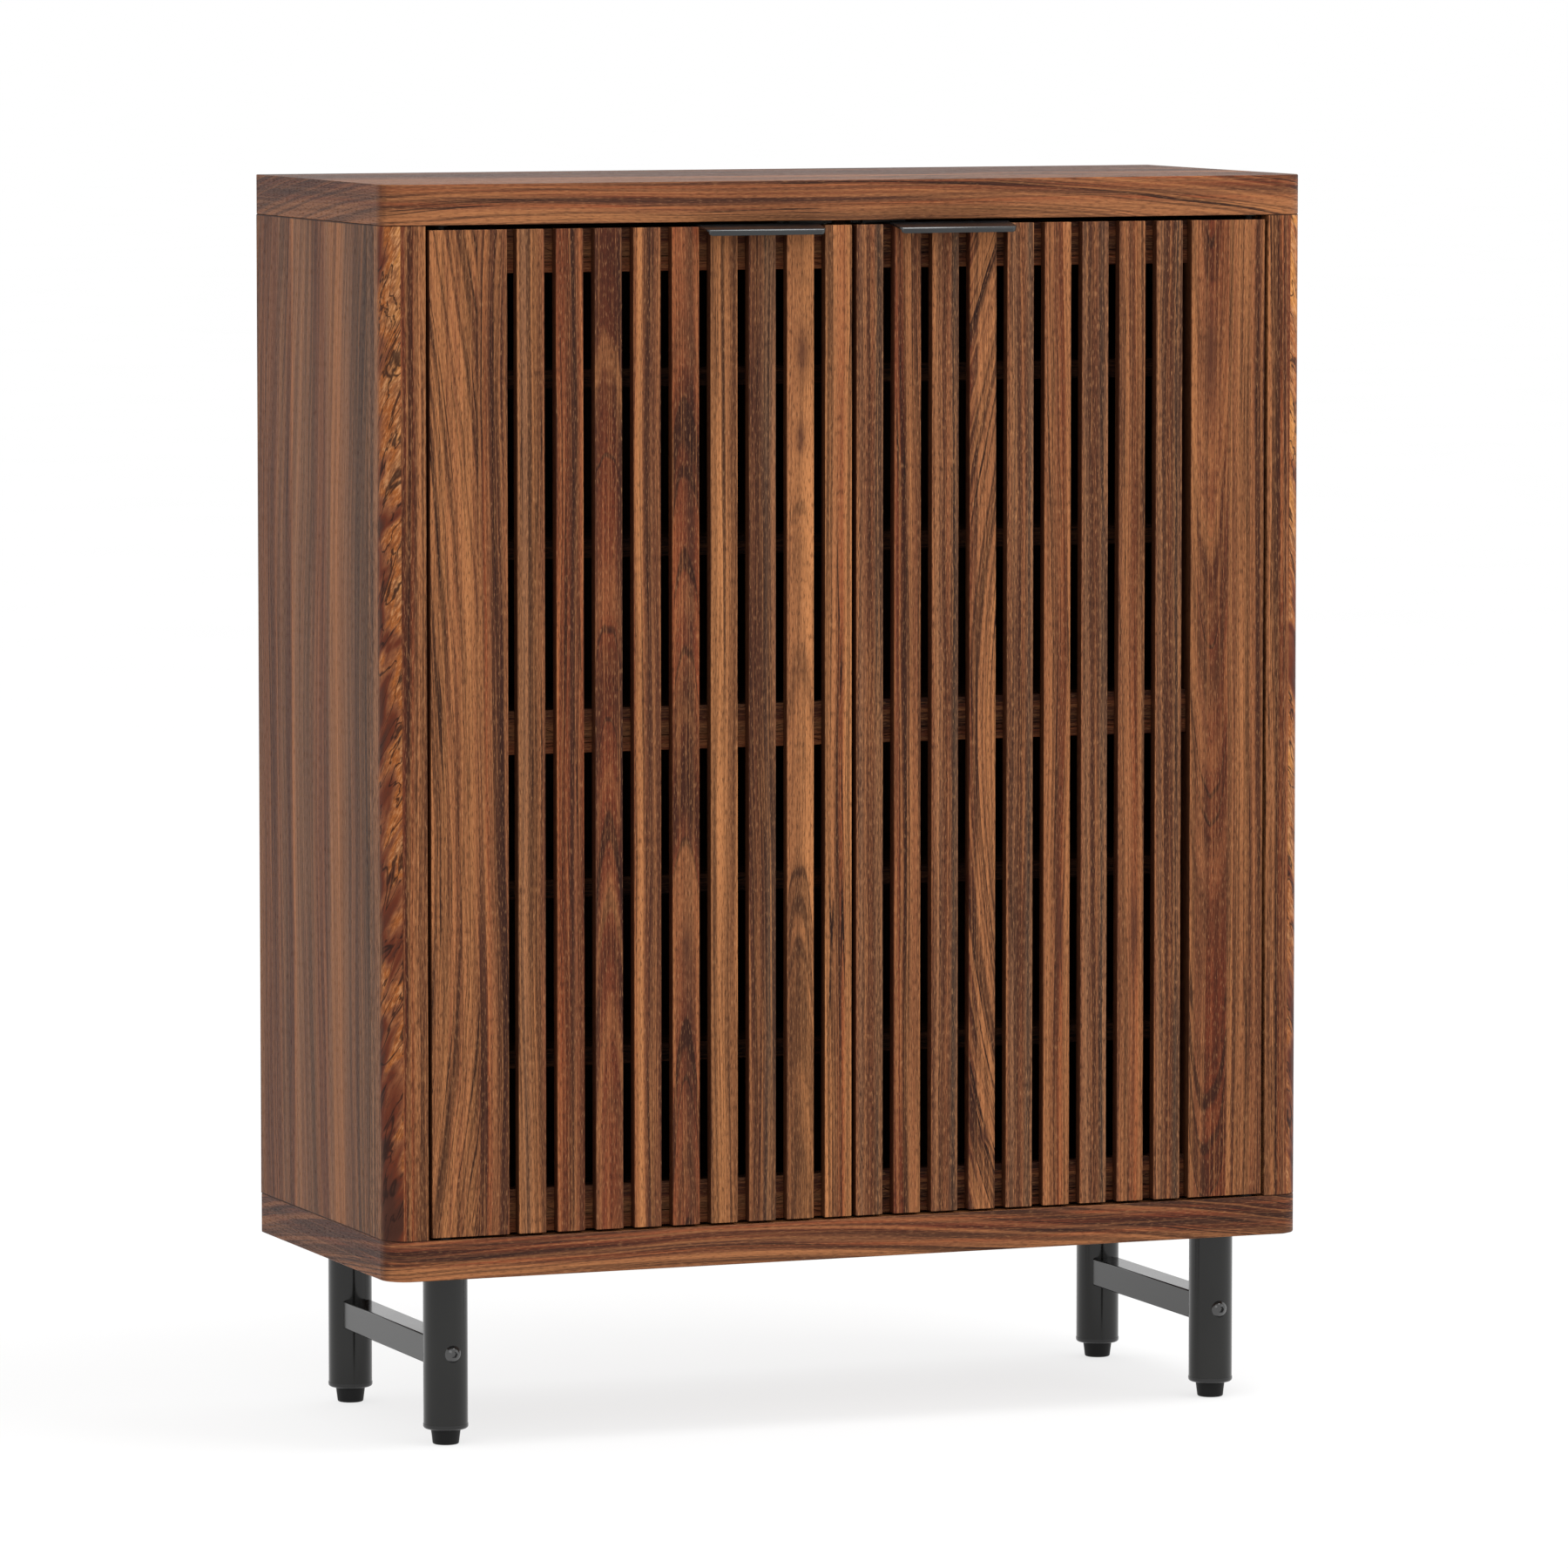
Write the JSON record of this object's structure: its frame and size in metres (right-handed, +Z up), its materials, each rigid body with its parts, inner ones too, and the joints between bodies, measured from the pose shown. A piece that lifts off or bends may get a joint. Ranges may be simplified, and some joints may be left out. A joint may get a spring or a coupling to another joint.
{
  "type": "shoe cabinet",
  "caption": "Shoe cabinet with slatted swing doors, inner shelves behind them and round metal legs joined by side stretchers.",
  "frame": {"origin": "centre of the footprint with the handles, on the floor", "axes": "+Z up, the doors face -Y, +X is on the right of a person who faces the doors"},
  "size_m": [0.8, 0.3426, 1.015],
  "materials": {
    "board_walnut": "satin walnut grain along X",
    "side_walnut": "satin walnut grain along Z",
    "post_walnut": "satin walnut grain along Z",
    "stile_walnut": "satin walnut grain along Z",
    "slat_walnut": "satin walnut grain along Z, each slat its own tone",
    "rail_walnut": "satin walnut grain along X",
    "inner_walnut": "satin walnut grain along X",
    "back_board": "matt printed board",
    "beech": "raw beech",
    "leg_metal": "satin charcoal powder coat",
    "cap_metal": "satin charcoal",
    "handle_metal": "satin grey-black coat",
    "black_steel": "black oxide",
    "foot_plastic": "matt black",
    "grey_plastic": "matt dark grey",
    "zinc_steel": "zinc plated",
    "magnet": "sintered ferrite"
  },
  "bodies": {
    "cabinet": {"top_panel": "board_walnut", "bottom_panel": "board_walnut", "side_panel_left": "side_walnut", "side_panel_right": "side_walnut", "front_post_left": "post_walnut", "front_post_right": "post_walnut", "back_panel": "back_board", "centre_partition": "inner_walnut", "shelf_1": "inner_walnut", "shelf_2": "inner_walnut", "shelf_3": "inner_walnut", "shelf_4": "inner_walnut", "shelf_5": "inner_walnut", "shelf_pins": "zinc_steel", "dowels": "beech", "cam_locks": "zinc_steel", "pivot_bushes": "grey_plastic", "door_catches": "grey_plastic", "catch_magnets": "magnet", "leg_front_left": "leg_metal", "leg_front_right": "leg_metal", "leg_rear_left": "leg_metal", "leg_rear_right": "leg_metal", "leg_screws": "zinc_steel", "leg_end_caps": "cap_metal", "foot_glides": "foot_plastic", "stretcher_left": "leg_metal", "stretcher_right": "leg_metal", "stretcher_bolts": "black_steel", "panel_screws": "zinc_steel"},
    "left_door": {"left_door_stile": "stile_walnut", "left_door_slat_1": "slat_walnut", "left_door_slat_2": "slat_walnut", "left_door_slat_3": "slat_walnut", "left_door_slat_4": "slat_walnut", "left_door_slat_5": "slat_walnut", "left_door_slat_6": "slat_walnut", "left_door_slat_7": "slat_walnut", "left_door_slat_8": "slat_walnut", "left_door_slat_9": "slat_walnut", "left_door_rails": "rail_walnut", "left_door_handle": "handle_metal", "left_door_hinge_pivots": "black_steel", "left_door_strike_plate": "zinc_steel", "left_door_screws": "zinc_steel"},
    "right_door": {"right_door_stile": "stile_walnut", "right_door_slat_1": "slat_walnut", "right_door_slat_2": "slat_walnut", "right_door_slat_3": "slat_walnut", "right_door_slat_4": "slat_walnut", "right_door_slat_5": "slat_walnut", "right_door_slat_6": "slat_walnut", "right_door_slat_7": "slat_walnut", "right_door_slat_8": "slat_walnut", "right_door_slat_9": "slat_walnut", "right_door_rails": "rail_walnut", "right_door_handle": "handle_metal", "right_door_hinge_pivots": "black_steel", "right_door_strike_plate": "zinc_steel", "right_door_screws": "zinc_steel"}
  },
  "joints": [
    {"name": "left_door_hinge", "type": "hinge", "parent": "cabinet", "child": "left_door", "pos_m": [-0.3512, -0.1432, 0.577], "axis": [0, 0, -1], "range_deg": [0, 105]},
    {"name": "right_door_hinge", "type": "hinge", "parent": "cabinet", "child": "right_door", "pos_m": [0.3512, -0.1432, 0.577], "axis": [0, 0, 1], "range_deg": [0, 105]}
  ]
}
